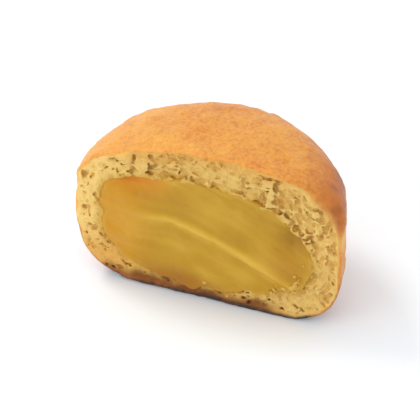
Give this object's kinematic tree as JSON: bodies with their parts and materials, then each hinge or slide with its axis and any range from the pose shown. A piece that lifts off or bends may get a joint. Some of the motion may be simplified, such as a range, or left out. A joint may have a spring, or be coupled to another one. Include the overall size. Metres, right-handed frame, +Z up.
{
  "type": "jelly filled doughnut half",
  "caption": "Half of a small round filled doughnut, cut side open to show soft crumb and a thick filling, resting on its flat base.",
  "frame": {"origin": "middle of the footprint, on the flat base that it rests on", "axes": "+Z up, -Y out of the cut face, +X to the right as one faces the cut"},
  "size_m": [0.058, 0.0294, 0.0386],
  "materials": {
    "dough": "fried golden crust with a brown base, and cream crumb at the cut",
    "filling": "smooth moist yellow cream, unevenly glossy"
  },
  "bodies": {
    "root": {"dough": "dough", "filling": "filling"}
  },
  "joints": []
}
